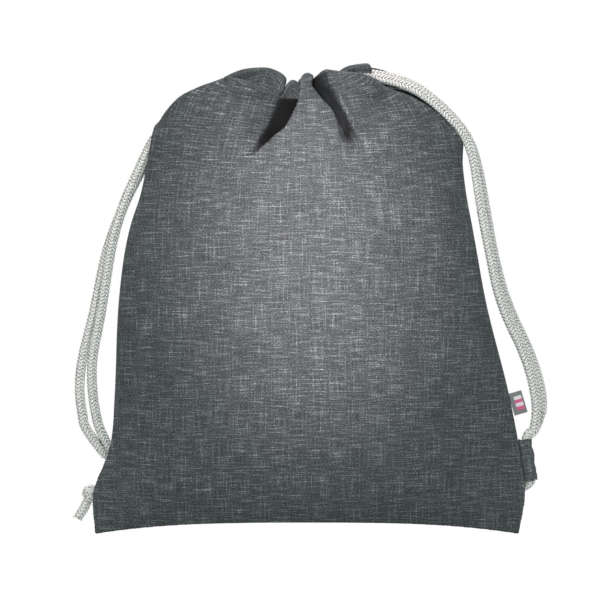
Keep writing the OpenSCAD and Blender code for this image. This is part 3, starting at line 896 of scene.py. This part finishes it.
def stitches(name, lines, pitch, material, r=0.28):
    """Rows of short sewn stitches along lines: each dips into the cloth at both ends."""
    parts = []
    for line in lines:
        line = resample(np.asarray(line, float), max(int(length(np.asarray(line)) / pitch), 2) * 6 + 1)
        tangent = np.gradient(line, axis=0)
        tangent /= np.maximum(np.linalg.norm(tangent, axis=1)[:, None], 1e-9)
        for k in range(0, len(line) - 6, 6):
            t = np.linspace(0.08, 0.92, 6)
            at = line[k] + t[:, None] * (line[k + 6] - line[k])
            side = np.cross(tangent[k], [0.1, 0.9, 0.4])
            side /= np.linalg.norm(side)
            up = np.cross(side, tangent[k])
            thin = r * (0.35 + 0.65 * np.sin(np.pi * np.linspace(0, 1, 6)) ** 0.5)
            turn = np.linspace(0, 2 * math.pi, 6, endpoint=False)
            rings = at[:, None] + thin[:, None, None] * (
                np.cos(turn)[None, :, None] * side + np.sin(turn)[None, :, None] * up
            )
            uv = np.stack([np.repeat(t[:, None], 6, 1) * pitch, np.repeat(turn[None], 6, 0) * r], axis=-1)
            parts.append((rings.reshape(-1, 3), grid_faces(6, 6, closed=True), uv.reshape(-1, 2)))
    obj = joined(name, parts, material)
    return obj


def build_hem_stitches(side, grid):
    """The seam that closes the tunnel, a hem's depth below the mouth's edge."""
    name = FACE[side]
    steps = np.linalg.norm(np.diff(grid[:ROWS], axis=0), axis=2)
    down = np.cumsum(steps[::-1], axis=0)
    line = []
    for c in range(2, grid.shape[1] - 2):
        r = ROWS - 2 - int(np.searchsorted(down[:, c], HEM_DOWN))
        here = grid[r, c]
        across = grid[r, c + 1] - grid[r, c - 1]
        upward = grid[r + 1, c] - grid[r - 1, c]
        out = np.cross(across, upward)
        out /= np.linalg.norm(out)
        out *= 1 if out[1] * side > 0 else -1
        line.append(here + 0.2 * out)
    obj = stitches(f"{name}_hem_stitches", [np.array(line)], 2.6, THREAD)
    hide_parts(f"{name}_tunnel_stitching")
    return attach(obj, f"{name}_mouth")


def build_flap_seam(grid):
    """A short row of pale stitches down the inside of the back's hem."""
    inner = grid[ROWS + 9 : ROWS + 25]
    column = int(np.argmin(np.abs(inner[0, :, 0] - FLAP_SEAM_X)))
    line = inner[:, column] - np.array([0, 1.15, 0])
    obj = stitches("flap_seam", [line], 1.5, THREAD_PALE, 0.2)
    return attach(obj, "back_mouth")


def build_seams(front, back):
    """Piped seam lines where the front and the back cloth meet."""
    height = int(ROWS * 0.8)
    for hand, column in ((LEFT, 0), (RIGHT, -1)):
        name = f"{HAND[hand]}_side_seam"
        line = (front[:height, column] + back[:height, column]) / 2
        line = line - np.array([hand * 0.55, 0, 0])
        obj = seam_cord(f"{name}_line", spline(line[::6], 260), 1.25)
        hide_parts(name)
    low = (front[0] + back[0]) / 2 + np.array([0, 0, 0.5])
    obj = seam_cord("bottom_seam_line", resample(low, 300), 1.25)
    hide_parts("bottom_seam")


def seam_cord(name, line, r):
    _, normal, side = moving_frame(line)
    turn = np.linspace(0, 2 * math.pi, 10, endpoint=False)
    pucker = 1 + 0.12 * np.sin(np.arange(len(line)) * 2.1) + 0.08 * np.sin(np.arange(len(line)) * 0.7)
    rings = line[:, None] + (r * pucker)[:, None, None] * (
        np.cos(turn)[None, :, None] * normal[:, None] + np.sin(turn)[None, :, None] * side[:, None]
    )
    round_it = np.repeat(turn[None] * r, len(line), 0)
    along = np.repeat(np.arange(len(line))[:, None] * 1.4, 10, 1)
    uv = np.stack([round_it, along], axis=-1)
    obj = mesh_object(name, rings.reshape(-1, 3), grid_faces(len(line), 10, closed=True), uv.reshape(-1, 2))
    obj.data.materials.append(MELANGE)
    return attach(obj, "bag")


def build_label():
    """A folded woven label, with raised woven bars across its faces."""
    points = cad_points("woven_label")
    middle = points.mean(axis=0)
    up = np.array([-0.284, 0, 0.9588])
    out = np.array([0.9588, 0, 0.284])
    wide, tall = np.abs((points - middle) @ out).max() + 0.6, np.abs((points - middle) @ up).max()
    rows, columns = 60, 64
    h = np.linspace(-tall, tall, rows)
    turn = np.linspace(-math.pi / 2, math.pi / 2, columns // 4)
    flat = np.linspace(-wide - 1.6, wide - 0.7, 24)
    front = [(x, -0.55) for x in flat]
    fold = [(wide - 0.7 + 0.62 * math.cos(a), 0.55 * math.sin(a)) for a in turn]
    section = np.array(front + fold[1:-1] + [(x, 0.55) for x in flat[::-1]])
    bow = 0.5 * (section[:, 0] / wide) ** 2
    grid = (
        middle + h[:, None, None] * up + section[None, :, 0, None] * out
        + (section[None, :, 1, None] + bow[None, :, None] * 0.6) * np.array([0, 1, 0])
    )
    grid[..., 1] += 0.25 * np.sin(h / tall * 2.2)[:, None]
    arc = np.concatenate([[0], np.cumsum(np.linalg.norm(np.diff(section, axis=0), axis=1))])
    uv = np.stack([np.repeat(arc[None], rows, 0), np.repeat(h[:, None], len(arc), 1)], axis=-1)
    obj = mesh_object("label_ribbon", grid.reshape(-1, 3), grid_faces(rows, len(arc)), uv.reshape(-1, 2))
    apply_modifier(obj, "SOLIDIFY", thickness=0.3 * MM, offset=0)
    obj.data.materials.append(LABEL)
    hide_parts("woven_label")
    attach(obj, "label")
    build_motif(middle, up, out, wide, tall)


def build_motif(middle, up, out, wide, tall):
    """Plain bars of raised pink and white threads on both faces of the label."""
    bars = []
    for face in (-1, 1):
        for height, colour in ((-0.42, 0), (-0.14, 1), (0.14, 0), (0.42, 1)):
            for k in range(7):
                z = height * tall * 1.1 + (k - 3) * 0.46
                xs = np.linspace(-wide * 0.62, wide * 0.72, 24)
                wave = 0.06 * np.sin(xs * 5 + k * 3.1)
                y = face * (0.55 + 0.26 + wave) + 0.3 * (xs / wide) ** 2 + 0.25 * math.sin(z / tall * 2.2)
                line = middle + z * up + xs[:, None] * out + y[:, None] * np.array([0, 1, 0])
                bars.append((colour, line))
    for colour, material, name in ((0, MOTIF, "label_bars_pink"), (1, MOTIF_PALE, "label_bars_pale")):
        parts = []
        for which, line in bars:
            if which == colour:
                out_y = np.repeat(np.array([[0.0, 1.0, 0.0]]), len(line), axis=0)
                rings = ribbon(line, out_y, (0.26, 0.16), 6)
                s = np.repeat(np.linspace(0, wide * 1.3, len(line))[:, None], 6, 1)
                uv = np.stack([s, np.repeat(np.linspace(0, 1, 6)[None], len(line), 0)], axis=-1)
                parts.append((rings.reshape(-1, 3), grid_faces(len(line), 6, closed=True), uv.reshape(-1, 2)))
        obj = joined(name, parts, material)
        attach(obj, "label")
        if colour == 0:
            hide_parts("label_motif")


# ---------------------------------------------------------------- stage, light, camera


def look_at(obj, target):
    way = Vector(target) - obj.location
    obj.rotation_mode = "QUATERNION"
    obj.rotation_quaternion = way.to_track_quat("-Z", "Y")


def area_light(name, at, target, size, power, colour=(1, 1, 1)):
    data = bpy.data.lights.new(name, "AREA")
    data.shape, data.size, data.energy, data.color = "DISK", size, power, colour
    light = bpy.data.objects.new(name, data)
    bpy.context.scene.collection.objects.link(light)
    light.location = at
    look_at(light, target)
    return light


def spot_light(name, at, target, angle, power, colour=(1, 1, 1)):
    data = bpy.data.lights.new(name, "SPOT")
    data.spot_size, data.spot_blend = math.radians(angle), 1.0
    data.energy, data.shadow_soft_size, data.color = power, 0.06, colour
    light = bpy.data.objects.new(name, data)
    bpy.context.scene.collection.objects.link(light)
    light.location = at
    light.scale = (1, 1.55, 1)
    look_at(light, target)
    return light


def build_world():
    world = bpy.data.worlds.new("studio")
    bpy.context.scene.world = world
    world.use_nodes = True
    nodes, links = world.node_tree.nodes, world.node_tree.links
    nodes.clear()
    path = nodes.new("ShaderNodeLightPath")
    white, dim = nodes.new("ShaderNodeBackground"), nodes.new("ShaderNodeBackground")
    white.inputs["Color"].default_value = (1, 1, 1, 1)
    white.inputs["Strength"].default_value = 1.0
    dim.inputs["Color"].default_value = (0.86, 0.92, 1.0, 1)
    dim.inputs["Strength"].default_value = 0.14
    choose, out = nodes.new("ShaderNodeMixShader"), nodes.new("ShaderNodeOutputWorld")
    links.new(path.outputs["Is Camera Ray"], choose.inputs["Fac"])
    links.new(dim.outputs["Background"], choose.inputs[1])
    links.new(white.outputs["Background"], choose.inputs[2])
    links.new(choose.outputs["Shader"], out.inputs["Surface"])


def build_stage():
    bpy.ops.mesh.primitive_plane_add(size=6, location=(0, 0, -0.0016))
    floor = bpy.context.object
    floor.name = "floor"
    floor.data.materials.append(pale_floor())
    middle = (0, 0, 0.2)
    lights = [
        area_light("key", (-0.1, -1.6, 1.2), middle, 0.5, 9.7),
        area_light("crown", (-0.3, -0.3, 1.5), (0, 0, 0.35), 0.4, 6.5, (1.0, 0.96, 0.92)),
        area_light("low_fill", (0.12, -1.7, 0.04), (0.03, 0, 0.1), 0.7, 15.5, (0.78, 1.0, 0.94)),
        area_light("back_key", (0.0, 1.6, 1.2), middle, 0.6, 15),
        area_light("left_fill", (-1.8, -0.1, 0.6), middle, 1.0, 0.8),
        area_light("right_fill", (1.8, -0.1, 0.6), middle, 1.0, 1.5),
        spot_light("belly", (-0.15, -2.2, 1.15), (0.005, 0, 0.235), 6.3, 390, (1.0, 0.88, 0.92)),
        spot_light("back_belly", (0.0, 2.2, 1.15), (0.0, 0, 0.235), 6.6, 210),
    ]


def pale_floor():
    """A plain floor, as white as the backdrop where the camera sees it."""
    material, nodes, links = new_material("pale_floor")
    shader = nodes["Principled BSDF"]
    shader.inputs["Base Color"].default_value = (0.85, 0.85, 0.85, 1)
    shader.inputs["Roughness"].default_value = 0.95
    path, glow = nodes.new("ShaderNodeLightPath"), nodes.new("ShaderNodeEmission")
    choose = nodes.new("ShaderNodeMixShader")
    links.new(path.outputs["Is Camera Ray"], choose.inputs["Fac"])
    links.new(shader.outputs["BSDF"], choose.inputs[1])
    links.new(glow.outputs["Emission"], choose.inputs[2])
    links.new(choose.outputs["Shader"], nodes["Material Output"].inputs["Surface"])
    return material


def build_camera():
    data = bpy.data.cameras.new("camera")
    data.sensor_width, data.lens = 36, 204.5
    camera = bpy.data.objects.new("camera", data)
    bpy.context.scene.collection.objects.link(camera)
    camera.location = (-0.0075, -3.0, 0.205)
    camera.rotation_euler = (math.radians(90), 0, 0)
    data.clip_start, data.clip_end = 0.1, 20
    bpy.context.scene.camera = camera
    bpy.context.scene.view_settings.view_transform = "Standard"


# ---------------------------------------------------------------- everything


def build_pouch():
    """Both cloths and what is sewn to them. Returns the edge of the back's hem."""
    front, front_grid = build_cloth(FRONT)
    back, back_grid = build_cloth(BACK)
    for obj, side in ((front, FRONT), (back, BACK)):
        name = FACE[side]
        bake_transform(obj)
        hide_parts(f"{name}_panel", f"{name}_gather", f"{name}_tunnel")
    build_seams(front_grid, back_grid)
    build_hem_stitches(FRONT, front_grid)
    build_hem_stitches(BACK, back_grid)
    build_flap_seam(back_grid)
    return back_grid[ROWS - 1]


build_world()
build_camera()
back_hem = build_pouch()
for hand in (LEFT, RIGHT):
    build_strap(hand)
    build_tunnel_cord(hand, back_hem)
    build_knot(hand)
    build_tab(hand)
build_label()
build_stage()
